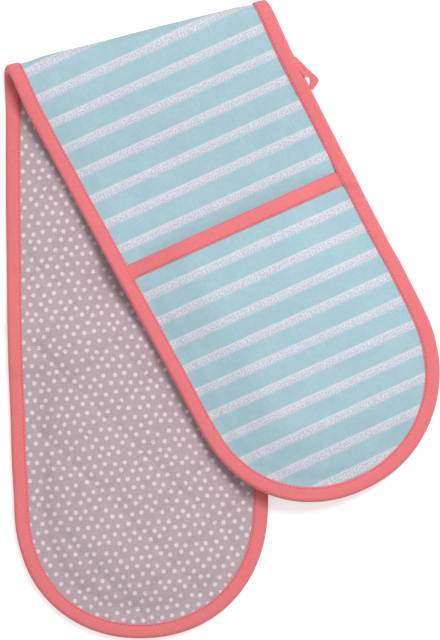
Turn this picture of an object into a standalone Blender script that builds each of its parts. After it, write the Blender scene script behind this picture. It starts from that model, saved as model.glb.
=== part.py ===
"""A double oven glove, folded over near its middle with its striped side outward.

A long padded strip has a hand pocket at each end, binding round its edge and a hanging loop.
The strip is set out flat first. Every piece is a thin slab of grid cells whose corners are
given as a place along the strip, a place across it and a height off its middle surface, and
lay() carries them round the fold to where they lie. Lengths are in metres, with +Z up.
"""

import math

import bmesh
import bpy
from mathutils import Vector

# The strip, laid out flat
STRIP_LENGTH = 0.787
STRIP_WIDTH = 0.186
SHOULDER_WIDTH = 0.1775
END_LENGTH = 0.090
END_FULLNESS = 2.1
FOLD_FROM_MIDDLE = 0.033

# Layers and tapes
SKIN = 0.0008
TAPE = 0.0010
GAP = 0.0003
WADDING_EDGE = 0.0014
WADDING_FULL = 0.0040
POCKET_WADDING_EDGE = 0.0004
POCKET_WADDING_FULL = 0.0020
SWELL_LENGTH = 0.016

# Edge binding
BINDING_WIDTH = 0.010
BINDING_ROUND = 0.0025
LAYER_INSET = 0.0026
EDGE_FLAT = 0.005
COVER_EASE = 0.008

# Pockets
POCKET_DEPTH = 0.212
MOUTH_BAND = 0.011
MOUTH_SKEW = math.radians(3.5)
BAND_TAPER = 0.015
MOUTH_RISE = 0.050
LOWER_EASE = 0.005
UPPER_EASE = 0.008
EASE_SPREAD = 0.040

# Fold, and how the upper half lies over the lower one
FOLD_RADIUS = 0.008
FOLD_TURN = math.radians(14.25)
FOLD_SLANT = math.radians(13.5)
HINGE_TURN = math.radians(42)
HINGE_CLEARANCE = 0.0001
LAY_GAP = 0.001
FOLD_RELAX = 0.110
DRAPE_LENGTH = 0.130
CROWN_RISE = 0.120
CROWN_LEAD = 0.010

# Hanging loop
LOOP_FROM_FOLD = 0.070
LOOP_SPAN = 0.0266
LOOP_REACH = 0.0086
LOOP_TAPE = 0.0044
LOOP_THICKNESS = 0.0012
LOOP_CORNER = 0.003
LOOP_TIP_SHARE = 0.85

# Grid cells
BEND_CELLS = 6
LOWER_STRIP_CELLS = 4
UPPER_STRIP_CELLS = 3
RISE_CELLS = 4
POCKET_CELLS = 4
END_CELLS = 6
MIDDLE_COLUMNS = 6
ROUND_CELLS = 4
TIP_SHARE = 0.06
ROW_PASSES = 6

# Look of the plain materials
SMOOTH_BELOW = math.radians(40)
ROUGHNESS = 0.9

# What follows from the sizes above
TAPE_STEP = TAPE + GAP
HALF_BEND = math.pi / 2 * FOLD_RADIUS
EDGE_FACE = WADDING_EDGE / 2 + GAP + SKIN
STRIP_REST = EDGE_FACE + TAPE_STEP
SEAM = BINDING_WIDTH + EDGE_FLAT
REACH = {-1: STRIP_LENGTH / 2 + FOLD_FROM_MIDDLE, 1: STRIP_LENGTH / 2 - FOLD_FROM_MIDDLE}
EASE = {-1: LOWER_EASE, 1: UPPER_EASE}
ALONG_FOLD = Vector((math.cos(FOLD_TURN), math.sin(FOLD_TURN), 0))
OFF_FOLD = Vector((-math.sin(FOLD_TURN), math.cos(FOLD_TURN), 0))
UP = Vector((0, 0, 1))

TEAL = (0.41, 0.61, 0.68)
GREY = (0.48, 0.39, 0.41)
CORAL = (0.83, 0.21, 0.23)
CREAM = (0.82, 0.79, 0.72)


def smooth(share):
    """An even rise from 0 to 1 that starts and ends level."""
    share = min(max(share, 0), 1)
    return share * share * (3 - 2 * share)


def mix(start, end, share):
    return start + (end - start) * share


def half_of(along):
    """-1 for the lower half of the strip, 1 for the upper one."""
    return -1 if along < 0 else 1


# The outline of the strip


def past_shoulder(along):
    """How far a place along the strip lies beyond the shoulder line of its end."""
    return abs(along + FOLD_FROM_MIDDLE) - (STRIP_LENGTH / 2 - END_LENGTH)


def half_width(along, inset=0):
    """Half the width of the strip's outline, drawn in by the inset."""
    past = past_shoulder(along)
    if past > 0:
        share = min(past / (END_LENGTH - inset), 1)
        return (SHOULDER_WIDTH / 2 - inset) * (1 - share**END_FULLNESS) ** (1 / END_FULLNESS)
    taper = (past + STRIP_LENGTH / 2 - END_LENGTH) / (STRIP_LENGTH / 2 - END_LENGTH)
    return mix(STRIP_WIDTH, SHOULDER_WIDTH, taper) / 2 - inset


def edge_distance(along, across):
    """About how far a place lies inside the outline."""
    past = past_shoulder(along)
    if past <= 0:
        return half_width(along) - abs(across)
    ahead = past / END_LENGTH
    aside = abs(across) * 2 / SHOULDER_WIDTH
    ratio = (ahead**END_FULLNESS + aside**END_FULLNESS) ** (1 / END_FULLNESS)
    return (1 - ratio) * SHOULDER_WIDTH / 2


def mouth_distance(along, across):
    """How far a place lies past the pocket's mouth, towards the tip of its half."""
    half = half_of(along)
    mouth = REACH[half] - POCKET_DEPTH
    return half * (along - across * math.tan(MOUTH_SKEW)) - mouth


# Heights off the strip's middle surface, which rise towards the striped side


def swell(inside):
    return smooth((inside - SEAM) / SWELL_LENGTH)


def core(inside):
    """Half the thickness of the strip's wadding."""
    return mix(WADDING_EDGE, WADDING_FULL, swell(inside)) / 2


def face(inside):
    return core(inside) + GAP + SKIN


def banding(past):
    """1 where the mouth's binding wraps the pocket's layers, easing to 0 beyond it."""
    return 1 - smooth((past - MOUTH_BAND) / BAND_TAPER)


def pocket_core(inside, past):
    return mix(POCKET_WADDING_EDGE, POCKET_WADDING_FULL, swell(inside) * (1 - banding(past)))


def lining_face(along, across):
    """The pocket lining's face towards the strip, with the room for a hand under it."""
    inside = edge_distance(along, across)
    room = EASE[half_of(along)] * smooth((inside - SEAM) / EASE_SPREAD)
    return face(inside) + GAP + room + TAPE_STEP * banding(mouth_distance(along, across))


def pocket_wadding_face(along, across):
    return lining_face(along, across) + SKIN + GAP


def front_back_face(along, across):
    past = mouth_distance(along, across)
    thickness = pocket_core(edge_distance(along, across), past)
    return pocket_wadding_face(along, across) + thickness + GAP


def front_face(along, across):
    return front_back_face(along, across) + SKIN


def stack_height(along, across, under_binding):
    """The outermost height over a place, with the bindings that wrap the layers there."""
    past = mouth_distance(along, across)
    half = half_of(along)
    mouth_along = along - half * min(past, 0)
    wraps = banding(max(past, 0)) + under_binding
    over_pocket = front_face(mouth_along, across) + TAPE_STEP * wraps
    return mix(STRIP_REST, over_pocket, smooth(1 + past / MOUTH_RISE))


def binding_height(along, across):
    """The edge binding's outer height on the striped side, at a place on the outline."""
    return stack_height(along, across, 1)


# Where the strip lies once it is folded


def lower_height(along, across):
    """The middle surface's height where the lower half lies on its own pocket."""
    cover = 1 - smooth((edge_distance(along, across) - SEAM) / COVER_EASE)
    return stack_height(along, across, cover)


FOLD_CENTRE = STRIP_REST + FOLD_RADIUS
UPPER_AT_FOLD = FOLD_CENTRE + FOLD_RADIUS


def to_fold(along, across):
    """A place on the flat strip as its distances off and along the line of the fold."""
    off = along * math.cos(FOLD_SLANT) - across * math.sin(FOLD_SLANT)
    beside = along * math.sin(FOLD_SLANT) + across * math.cos(FOLD_SLANT)
    return off, beside


def from_fold(off, beside):
    along = off * math.cos(FOLD_SLANT) + beside * math.sin(FOLD_SLANT)
    across = beside * math.cos(FOLD_SLANT) - off * math.sin(FOLD_SLANT)
    return along, across


def crown_height():
    """The height of the lower half's middle surface where it passes over its pocket's mouth."""
    mouth_along = -(REACH[-1] - POCKET_DEPTH)
    return lower_height(mouth_along, 0)


def upper_height(along, across):
    """The middle surface's height where the upper half lies over the lower one."""
    off, beside = to_fold(along, across)
    below_along, below_across = from_fold(-off, beside)
    past = mouth_distance(min(below_along, -HALF_BEND), below_across) + CROWN_LEAD
    lower = mix(STRIP_REST, crown_height(), smooth(1 + past / CROWN_RISE))
    carried = lower + STRIP_REST + LAY_GAP
    outside = -edge_distance(below_along, below_across)
    laid = mix(STRIP_REST + carried, STRIP_REST, smooth(outside / DRAPE_LENGTH))
    return mix(UPPER_AT_FOLD, laid, smooth((off - HALF_BEND) / FOLD_RELAX))


def lay(along, across, height):
    """The point in space of a place on the strip, at a height off its middle surface."""
    off, beside = to_fold(along, across)
    if off < -HALF_BEND:
        ahead = off + HALF_BEND
        level = lower_height(along, across) - height
    elif off > HALF_BEND:
        ahead = HALF_BEND - off
        level = upper_height(along, across) + height
    else:
        turn = off / FOLD_RADIUS
        ahead = (FOLD_RADIUS + height) * math.cos(turn)
        level = FOLD_CENTRE + (FOLD_RADIUS + height) * math.sin(turn)
    return ALONG_FOLD * beside + OFF_FOLD * ahead + UP * level


# Rows of cells: each is a line across the strip, as its middle place and its slant


def fold_row(turn):
    """The line of a turn round the fold."""
    return turn * FOLD_RADIUS / math.cos(FOLD_SLANT), math.tan(FOLD_SLANT)


def mouth_row(half, past):
    return half * (REACH[half] - POCKET_DEPTH + past), math.tan(MOUTH_SKEW)


def end_row(half, turn):
    """A line across the rounded end, from the shoulders (a right angle) to the tip (0)."""
    ahead = (END_LENGTH - LAYER_INSET) * math.cos(turn) ** (2 / END_FULLNESS)
    return half * (REACH[half] - END_LENGTH + ahead), 0


def rows_between(first, last, cells):
    """The rows after the first one, up to the last."""
    shares = [cell / cells for cell in range(1, cells + 1)]
    return [(mix(first[0], last[0], s), mix(first[1], last[1], s)) for s in shares]


def end_turns():
    tip_turn = math.pi / 2 * TIP_SHARE
    return [mix(math.pi / 2, tip_turn, cell / END_CELLS) for cell in range(END_CELLS + 1)]


def pocket_rows(half, start):
    """Rows from a distance past the mouth to the tip."""
    taper_end = mouth_row(half, MOUTH_BAND + BAND_TAPER)
    rows = [mouth_row(half, start), mouth_row(half, MOUTH_BAND), taper_end]
    rows += rows_between(taper_end, end_row(half, math.pi / 2), POCKET_CELLS)
    return rows + [end_row(half, turn) for turn in end_turns()[1:]]


def strip_rows(half):
    """Rows from the hinge line of a half, round the rest of the bend and along to its mouth."""
    hinge = fold_row(half * HINGE_TURN)
    flat = fold_row(half * math.pi / 2)
    rise = mouth_row(half, -MOUTH_RISE)
    cells = {-1: LOWER_STRIP_CELLS, 1: UPPER_STRIP_CELLS}[half]
    rows = [hinge] + rows_between(hinge, flat, BEND_CELLS // 2)
    rows += rows_between(flat, rise, cells)
    return rows + rows_between(rise, mouth_row(half, 0), RISE_CELLS)


def hinge_gap(rows, first, last):
    """The rows with a hinge's half gap taken off the named ends."""
    step = GAP / 2 / math.cos(FOLD_SLANT)
    rows = list(rows)
    if first:
        rows[0] = (rows[0][0] + first * step, rows[0][1])
    if last:
        rows[-1] = (rows[-1][0] + last * step, rows[-1][1])
    return rows


def main_rows(half):
    rows = strip_rows(half) + pocket_rows(half, 0)[1:]
    return hinge_gap(rows, half, 0)


def bend_rows():
    """Rows round the middle of the bend, from the lower half's hinge to the upper half's."""
    lower, upper = fold_row(-HINGE_TURN), fold_row(HINGE_TURN)
    return hinge_gap([lower] + rows_between(lower, upper, BEND_CELLS), 1, -1)


def column_shares():
    """Places across a layer as shares of its half width, closer together near the edges."""
    layer_half = SHOULDER_WIDTH / 2 - LAYER_INSET
    seam_share = 1 - (SEAM - LAYER_INSET) / layer_half
    swell_share = seam_share - SWELL_LENGTH / layer_half
    middle = [mix(-swell_share, swell_share, c / MIDDLE_COLUMNS) for c in range(MIDDLE_COLUMNS + 1)]
    return [-1, -seam_share] + middle + [seam_share, 1]


def on_row(row, share, inset):
    """The place along and across where a row meets a share of the half width."""
    across = 0
    for _ in range(ROW_PASSES):
        along = row[0] + row[1] * across
        across = share * half_width(along, inset)
    return row[0] + row[1] * across, across


# Stations of the edge binding: each gives a place on the outline at any inset


def side_station(row, side):
    return lambda inset: on_row(row, side, inset)


def end_station(half, turn):
    def place(inset):
        ahead = (END_LENGTH - inset) * abs(math.cos(turn)) ** (2 / END_FULLNESS)
        aside = (SHOULDER_WIDTH / 2 - inset) * abs(math.sin(turn)) ** (2 / END_FULLNESS)
        return half * (REACH[half] - END_LENGTH + ahead), math.copysign(aside, turn)

    return place


def binding_stations(half):
    """Stations from the hinge along the right edge, round the tip and back on the left edge."""
    rows = main_rows(half)[: -END_CELLS]
    turns = end_turns()[1:]
    right = [side_station(row, 1) for row in rows] + [end_station(half, t) for t in turns]
    left = [side_station(row, -1) for row in rows] + [end_station(half, -t) for t in turns]
    return right + [end_station(half, 0)] + left[::-1]


# Building a piece


def unit_slab(rows, columns):
    """A flat slab of cells, whose corners count the rows in x and the columns in y.

    Every cell is split along the same diagonal on both sides, so that layers keep their gaps.
    """
    slab = bmesh.new()
    bmesh.ops.create_grid(slab, x_segments=rows, y_segments=columns, size=1)
    bmesh.ops.triangulate(slab, faces=slab.faces[:], quad_method="FIXED")
    raised = bmesh.ops.extrude_face_region(slab, geom=slab.faces[:], use_keep_orig=True)
    top = {item for item in raised["geom"] if isinstance(item, bmesh.types.BMVert)}
    for vert in slab.verts:
        row = round((vert.co.x + 1) / 2 * rows)
        column = round((vert.co.y + 1) / 2 * columns)
        vert.co = (row, column, 1 if vert in top else 0)
    return slab


def add_piece(name, rows, columns, place, body, material):
    """A closed slab with every corner put where place(row, column, side) says."""
    slab = unit_slab(rows, columns)
    for vert in slab.verts:
        row, column, side = (round(value) for value in vert.co)
        vert.co = place(row, column, side) - body["pivot"]
    bmesh.ops.recalc_face_normals(slab, faces=slab.faces)
    if slab.calc_volume(signed=True) < 0:
        bmesh.ops.reverse_faces(slab, faces=slab.faces)
    mesh = bpy.data.meshes.new(name)
    slab.to_mesh(mesh)
    slab.free()
    mesh.materials.append(material)
    mesh.shade_smooth()
    mesh.set_sharp_from_angle(angle=SMOOTH_BELOW)
    piece = bpy.data.objects.new(name, mesh)
    body["collection"].objects.link(piece)
    piece.parent = body["empty"]
    return piece


def add_layer(name, rows, low, high, body, material):
    """A layer across the whole width, between two heights off the middle surface."""
    shares = column_shares()

    def place(row, column, side):
        along, across = on_row(rows[row], shares[column], LAYER_INSET)
        return lay(along, across, (high if side else low)(along, across))

    return add_piece(name, len(rows) - 1, len(shares) - 1, place, body, material)


def add_main_layers(prefix, rows, body, materials):
    """Striped panel, wadding and backing of one stretch of the strip."""

    def at(height, sign):
        return lambda along, across: sign * height(edge_distance(along, across))

    def panel_back(inside):
        return core(inside) + GAP

    add_layer(prefix + "outer_panel", rows, at(panel_back, 1), at(face, 1), body, materials["teal"])
    add_layer(prefix + "wadding", rows, at(core, -1), at(core, 1), body, materials["wadding"])
    add_layer(prefix + "backing", rows, at(face, -1), at(panel_back, -1), body, materials["grey"])


def add_pocket_layers(prefix, half, body, materials):
    rows = pocket_rows(half, LAYER_INSET)

    def lining_back(along, across):
        return lining_face(along, across) + SKIN

    def wadding_front(along, across):
        return front_back_face(along, across) - GAP

    add_layer(prefix + "pocket_lining", rows, lining_face, lining_back, body, materials["grey"])
    add_layer(
        prefix + "pocket_wadding", rows, pocket_wadding_face, wadding_front, body, materials["wadding"]
    )
    add_layer(prefix + "pocket_front", rows, front_back_face, front_face, body, materials["teal"])


def wrap_profile(column, side, width, low, high):
    """A point of a tape folded round an edge: how far in from the edge, and its height.

    The columns run from one free edge of the tape, round its fold and back to the other.
    Side 1 is the tape's outer face and side 0 its inner one.
    """
    inner = 0 if side else TAPE
    middle = (low + high) / 2
    half_height = (high - low) / 2 - inner
    if column == 0:
        return width, middle - half_height
    if column == ROUND_CELLS + 2:
        return width, middle + half_height
    turn = math.pi * ((column - 1) / ROUND_CELLS - 1 / 2)
    inset = inner + (BINDING_ROUND - inner) * (1 - math.cos(turn))
    return inset, middle + half_height * math.sin(turn)


def add_edge_binding(name, stations, body, material):
    def place(row, column, side):
        edge = stations[row](0)
        low, high = -STRIP_REST, binding_height(*edge)
        inset, height = wrap_profile(column, side, BINDING_WIDTH, low, high)
        return lay(*stations[row](inset), height)

    return add_piece(name, len(stations) - 1, ROUND_CELLS + 2, place, body, material)


def add_mouth_binding(prefix, half, body, material):
    """The tape round the pocket's mouth, whose ends run under the edge binding."""
    shares = column_shares()

    def place(row, column, side):
        def heights(past):
            along, across = on_row(mouth_row(half, past), shares[row], LAYER_INSET)
            low = lining_face(along, across) - TAPE_STEP
            high = front_face(along, across) + TAPE_STEP
            return along, across, low, high

        _, _, low, high = heights(0)
        past, _ = wrap_profile(column, side, MOUTH_BAND, low, high)
        along, across, low, high = heights(past)
        _, height = wrap_profile(column, side, MOUTH_BAND, low, high)
        return lay(along, across, height)

    return add_piece(
        prefix + "mouth_binding", len(shares) - 1, ROUND_CELLS + 2, place, body, material
    )


# The hanging loop: a tape that leaves the edge at a slant and turns back to it


def loop_axis():
    """The line that the loop's sewn ends turn about, with the directions beside it."""
    clear = LOOP_THICKNESS / 2 + GAP
    ends = []
    for along in (LOOP_FROM_FOLD, LOOP_FROM_FOLD + LOOP_SPAN):
        ends.append(lay(along, half_width(along) + clear, 0))
    along_edge = (ends[1] - ends[0]).normalized()
    outward = UP.cross(along_edge).normalized()
    return ends[0], along_edge, outward, outward.cross(along_edge)


def turned_path(start, corner, end, radius):
    """Points from start to end, rounded near the corner."""
    before = corner + (start - corner).normalized() * radius
    after = corner + (end - corner).normalized() * radius
    points = [start, (start + before) / 2, before]
    for step in range(1, ROUND_CELLS):
        share = step / ROUND_CELLS
        points.append(before.lerp(corner, share).lerp(corner.lerp(after, share), share))
    return points + [after, end]


def loop_paths():
    """The tape's outer and inner edges, as places along the glove's edge and out from it."""
    root = -LOOP_THICKNESS / 2
    start = Vector((0, root))
    tip = Vector((LOOP_SPAN * LOOP_TIP_SHARE, LOOP_REACH + root))
    end = Vector((LOOP_SPAN, root))
    rise = (tip - start).normalized()
    fall = (tip - end).normalized()
    inner_start = start + Vector((LOOP_TAPE / rise.y, 0))
    inner_end = end - Vector((LOOP_TAPE / fall.y, 0))
    turn = rise.x * fall.y - rise.y * fall.x
    reach = (inner_end - inner_start).x * fall.y / turn
    inner_tip = inner_start + rise * reach
    outer = turned_path(start, tip, end, LOOP_CORNER)
    inner = turned_path(inner_start, inner_tip, inner_end, LOOP_THICKNESS)
    return outer, inner


def add_loop(name, body, material):
    origin, along_edge, outward, upward = loop_axis()
    outer, inner = loop_paths()

    def place(row, column, side):
        point = (outer if column else inner)[row]
        lift = LOOP_THICKNESS * (side - 1 / 2)
        return origin + along_edge * point.x + outward * point.y + upward * lift

    return add_piece(name, len(outer) - 1, 1, place, body, material)


# Bodies, materials and the whole glove


def hinge_point(turn):
    """A point on the hinge line of a turn round the fold, over the strip's middle."""
    radius = FOLD_RADIUS + STRIP_REST + HINGE_CLEARANCE
    return OFF_FOLD * radius * math.cos(turn) + UP * (FOLD_CENTRE + radius * math.sin(turn))


def make_material(name, colour):
    material = bpy.data.materials.new(name)
    material.use_nodes = True
    shader = material.node_tree.nodes["Principled BSDF"]
    shader.inputs["Base Color"].default_value = (*colour, 1)
    shader.inputs["Roughness"].default_value = ROUGHNESS
    shader.inputs["Metallic"].default_value = 0
    return material


def add_body(name, pivot, parent, collection):
    """An empty on the body's joint axis, which its pieces and later bodies hang from."""
    empty = bpy.data.objects.new(name, None)
    empty.empty_display_size = BINDING_WIDTH
    collection.objects.link(empty)
    if parent:
        empty.parent = parent["empty"]
        empty.location = pivot - parent["pivot"]
    return {"empty": empty, "pivot": pivot, "collection": collection}


def add_half(prefix, half, body, materials):
    add_main_layers(prefix, main_rows(half), body, materials)
    add_pocket_layers(prefix, half, body, materials)
    add_mouth_binding(prefix, half, body, materials["coral"])
    add_edge_binding(prefix + "edge_binding", binding_stations(half), body, materials["coral"])


def add_bend(prefix, body, materials):
    rows = bend_rows()
    add_main_layers(prefix, rows, body, materials)
    for side, word in ((-1, "left"), (1, "right")):
        stations = [side_station(row, side) for row in rows]
        add_edge_binding(prefix + "binding_" + word, stations, body, materials["coral"])


def centre_on_floor(glove):
    """Move the whole glove so that the middle of its outline is over the origin."""
    bpy.context.view_layer.update()
    corners = []
    for piece in glove["collection"].objects:
        if piece.type == "MESH":
            corners += [piece.matrix_world @ vert.co for vert in piece.data.vertices]
    low = Vector([min(corner[axis] for corner in corners) for axis in range(3)])
    high = Vector([max(corner[axis] for corner in corners) for axis in range(3)])
    glove["empty"].location = (-(low.x + high.x) / 2, -(low.y + high.y) / 2, -low.z)


def build_glove():
    for item in list(bpy.data.objects):
        bpy.data.objects.remove(item)
    collection = bpy.data.collections.new("double_oven_glove")
    bpy.context.scene.collection.children.link(collection)
    materials = {
        "teal": make_material("teal_cotton", TEAL),
        "grey": make_material("grey_cotton", GREY),
        "coral": make_material("coral_tape", CORAL),
        "wadding": make_material("cream_wadding", CREAM),
    }
    lower = add_body("lower_half", Vector((0, 0, 0)), None, collection)
    fold = add_body("fold", hinge_point(-HINGE_TURN), lower, collection)
    upper = add_body("upper_half", hinge_point(HINGE_TURN), fold, collection)
    loop = add_body("hanging_loop_hinge", loop_axis()[0], upper, collection)

    add_half("lower_", -1, lower, materials)
    add_bend("fold_", fold, materials)
    add_half("upper_", 1, upper, materials)
    add_loop("hanging_loop", loop, materials["coral"])
    centre_on_floor(lower)


build_glove()
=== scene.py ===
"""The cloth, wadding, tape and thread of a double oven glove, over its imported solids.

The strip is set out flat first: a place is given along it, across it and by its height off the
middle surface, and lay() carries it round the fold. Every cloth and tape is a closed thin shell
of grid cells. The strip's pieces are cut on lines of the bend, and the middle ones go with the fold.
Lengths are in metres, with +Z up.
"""

import math

import bpy
import numpy as np
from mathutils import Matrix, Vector


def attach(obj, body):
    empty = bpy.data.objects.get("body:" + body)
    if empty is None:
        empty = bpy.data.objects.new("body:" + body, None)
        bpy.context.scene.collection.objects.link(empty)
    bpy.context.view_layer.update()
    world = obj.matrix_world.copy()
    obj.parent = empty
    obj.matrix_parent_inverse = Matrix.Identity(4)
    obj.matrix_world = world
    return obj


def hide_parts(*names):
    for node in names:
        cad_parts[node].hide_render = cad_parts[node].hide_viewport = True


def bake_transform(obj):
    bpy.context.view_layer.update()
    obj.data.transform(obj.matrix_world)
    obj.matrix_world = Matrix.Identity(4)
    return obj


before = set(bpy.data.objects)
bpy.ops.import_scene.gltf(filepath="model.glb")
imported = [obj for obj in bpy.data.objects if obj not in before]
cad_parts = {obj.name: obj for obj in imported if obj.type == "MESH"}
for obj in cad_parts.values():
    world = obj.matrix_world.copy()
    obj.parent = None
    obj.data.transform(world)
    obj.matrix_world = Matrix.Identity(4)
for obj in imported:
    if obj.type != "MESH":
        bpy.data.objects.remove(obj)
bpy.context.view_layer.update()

# The strip, laid out flat
STRIP_LENGTH = 0.787
STRIP_WIDTH = 0.186
SHOULDER_WIDTH = 0.1775
END_LENGTH = 0.090
END_FULLNESS = 2.1
FOLD_FROM_MIDDLE = 0.033

# Layers and tapes
SKIN = 0.0008
TAPE = 0.0010
GAP = 0.0003
WADDING_EDGE = 0.0014
WADDING_FULL = 0.0040
POCKET_WADDING_EDGE = 0.0004
POCKET_WADDING_FULL = 0.0020
SWELL_LENGTH = 0.016
PUFF_START = 0.0095
PUFF_LENGTH = 0.014
BEND_EASE = 0.060
FLOOR_GAP = 0.0002
FLOOR_TOUCH = 0.00001

# Edge binding
BINDING_WIDTH = 0.010
BINDING_ROUND = 0.0025
LAYER_INSET = 0.0026
SEEN_WIDTH = 0.0104
EDGE_FLAT = 0.005
COVER_EASE = 0.008

# Pockets
POCKET_DEPTH = 0.212
MOUTH_BAND = 0.011
MOUTH_SKEW = math.radians(3.5)
BAND_TAPER = 0.015
BAND_OVERLAP = 0.001
BAND_STEP = 0.004
MOUTH_RISE = 0.050
MOUTH_CLIMB = 0.013
CORNER_EASE = 0.014
CORNER_SHARE = 0.66
LOWER_EASE = 0.005
UPPER_EASE = 0.008
EASE_SPREAD = 0.040
POCKET_LOOSE = 0.012

# Fold, and how the upper half lies over the lower one
FOLD_RADIUS = 0.008
FOLD_TURN = math.radians(14.25)
FOLD_SLANT = math.radians(13.5)
LAY_GAP = 0.001
FOLD_RELAX = 0.110
DRAPE_LENGTH = 0.130
CROWN_RISE = 0.120
CROWN_LEAD = 0.010

# Hanging loop
LOOP_FROM_FOLD = 0.070
LOOP_SPAN = 0.0266
LOOP_THICKNESS = 0.0012

# Unevenness of the cloth: heights, and how long the waves are along and across
RIPPLE_HEIGHT, RIPPLE_WAVES, RIPPLE_START = 0.0009, (0.055, 0.07), 0.03
BROAD_HEIGHT, BROAD_WAVES = 0.00035, (0.042, 0.06)
FINE_HEIGHT, FINE_WAVES = 0.00015, (0.02, 0.035)
RUMPLE_START = 0.02
DOTTED_LIFT_LIMIT = 0.0002
# Gathers: the length of one, how far they drift and over what length, and what length they grow in
PUCKER_HEIGHT, PUCKERS = 0.00022, (0.0085, 3, 0.03, 0.04)
PUCKER_START, PUCKER_GROWTH, PUCKER_FADE = 0.007, 0.004, 0.007

# Quilting of the dotted side: each family of lines has a direction, a first line and a spacing
QUILT_LINES = (
    ((-0.6978, -0.7163), 0.12283, 0.04059),
    ((-0.7163, 0.6978), 0.14189, 0.03564),
)
QUILT_NUMBERS = range(-14, 16)
QUILT_DEPTH = 0.0014
QUILT_SPREAD = 0.0040
QUILT_PUCKER = 0.00012
QUILT_WAVE = 0.0047
QUILT_DRIFT = (2.5, 0.02)
QUILT_FADE = 0.006
QUILT_START = 0.010

# Printed stripes and dots: the first stripe and the spacing, and the lace in millimetres
PRINT_SLANT = 0.0552
STRIP_STRIPES = (-0.0035, 0.01994)
POCKET_STRIPES = (0.1742, 0.01912)
LACE_SCALLOP = 2.4
SCALLOP_HEIGHT = 0.9
SCALLOP_BASE = 1.9
LACE_EDGE = (-4.0, -2.9)
SCALLOP_EDGE = (-1.3, 1.5)
HOLE_SCALE, HOLE_STRAY = 640.0, 0.9
HOLE_SIZE = (0.20, 0.50)
HOLES_FROM = (-3.4, -1.4)
HOLE_SHARE = (0.15, 0.65)
EYELET_LINE = 0.9
EYELET_EDGE = (0.2, 0.8)
EYELET_SHARE = 0.5
DOT_TURN = 0.62
DOT_SPACING = 0.00711
DOT_RADIUS = 0.00154
DOT_STRAY = 0.31
DOT_EDGE = (-0.0006, 0.0005)
# Every other row of dots stands half a step aside, at the height that spaces them evenly
STAGGER = 0.5
ROW_HEIGHT = 0.866

# What follows from the sizes above
TAPE_STEP = TAPE + GAP
HALF_BEND = math.pi / 2 * FOLD_RADIUS
STRIP_REST = WADDING_EDGE / 2 + GAP + SKIN + TAPE_STEP
SEAM = BINDING_WIDTH + EDGE_FLAT
REACH = {-1: STRIP_LENGTH / 2 + FOLD_FROM_MIDDLE, 1: STRIP_LENGTH / 2 - FOLD_FROM_MIDDLE}
FOLD_CENTRE = STRIP_REST + FOLD_RADIUS
UPPER_AT_FOLD = FOLD_CENTRE + FOLD_RADIUS
ALONG_FOLD = np.array((math.cos(FOLD_TURN), math.sin(FOLD_TURN), 0))
OFF_FOLD = np.array((-math.sin(FOLD_TURN), math.cos(FOLD_TURN), 0))
UP = np.array((0.0, 0.0, 1.0))
CENTRE = np.array((-0.058685, 0.190401, 0.0))
HALVES = {-1: "lower", 1: "upper"}

# Rows and columns of cells
END_ROWS = 44
LOWER_ROWS = 200
MOUTH_ROWS = (66, 4, 94)
MOUTH_STEPS = (0.0001, 0.0009)
POCKET_ROWS = 72
BEND_ROWS = 30
CUT_ROWS = 11
COLUMNS = 116
TIP_TURN = 0.05
ROW_PASSES = 6

NOISE_CELLS = 64
NOISE = np.random.default_rng(7).uniform(-1, 1, (NOISE_CELLS, NOISE_CELLS))
SEED_STEPS = (7.31, 3.77)
GATHER_EVENNESS = 0.6


def smooth(share):
    """An even rise from 0 to 1 that starts and ends level."""
    share = np.clip(share, 0, 1)
    return share * share * (3 - 2 * share)


def rise(value, start, length):
    """0 up to the start, 1 from a length past it, and an even rise between."""
    return smooth((value - start) / length)


def mix(start, end, share):
    return start + (end - start) * share


def noise(x, y=0.0, seed=0):
    """Smooth noise from -1 to 1, whose bumps are about one unit wide."""
    x, y = (np.asarray(place, float) + seed * step for place, step in zip((x, y), SEED_STEPS))
    column, row = np.floor(x).astype(int), np.floor(y).astype(int)
    right, up = smooth(x - column), smooth(y - row)
    low, high = (
        mix(NOISE[column % NOISE_CELLS, line], NOISE[(column + 1) % NOISE_CELLS, line], right)
        for line in (row % NOISE_CELLS, (row + 1) % NOISE_CELLS)
    )
    return mix(low, high, up)


def gathers(place, gather, drift, drift_length, growth_length, seed):
    """Uneven waves from -1 to 1 along a seam."""
    wave = np.sin(place / gather * 2 * math.pi + drift * noise(place / drift_length, seed=seed))
    growth = noise(place / growth_length, seed=seed + 1)
    return wave * (GATHER_EVENNESS + (1 - GATHER_EVENNESS) * growth)


# The outline of the strip


def past_shoulder(along):
    return np.abs(along + FOLD_FROM_MIDDLE) - (STRIP_LENGTH / 2 - END_LENGTH)


def half_width(along, inset):
    past = past_shoulder(along)
    share = np.clip(past / (END_LENGTH - inset), 0, 1)
    rounded = (SHOULDER_WIDTH / 2 - inset) * (1 - share**END_FULLNESS) ** (1 / END_FULLNESS)
    taper = (past + STRIP_LENGTH / 2 - END_LENGTH) / (STRIP_LENGTH / 2 - END_LENGTH)
    straight = mix(STRIP_WIDTH, SHOULDER_WIDTH, taper) / 2 - inset
    return np.where(past > 0, rounded, straight)


def edge_distance(along, across):
    past = past_shoulder(along)
    ahead = np.maximum(past, 0) / END_LENGTH
    aside = np.abs(across) * 2 / SHOULDER_WIDTH
    ratio = (ahead**END_FULLNESS + aside**END_FULLNESS) ** (1 / END_FULLNESS)
    return np.where(past > 0, (1 - ratio) * SHOULDER_WIDTH / 2, half_width(along, 0) - np.abs(across))


def outline_place(along, across):
    """How far round the outline a place lies, with the two sides well apart."""
    past = past_shoulder(along)
    angle = np.arctan2(past, np.abs(across))
    return np.where(past > 0, angle * SHOULDER_WIDTH / 2, past) + np.sign(across) / 2


def of_half(along, lower, upper):
    return np.where(along < 0, lower, upper)


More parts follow.
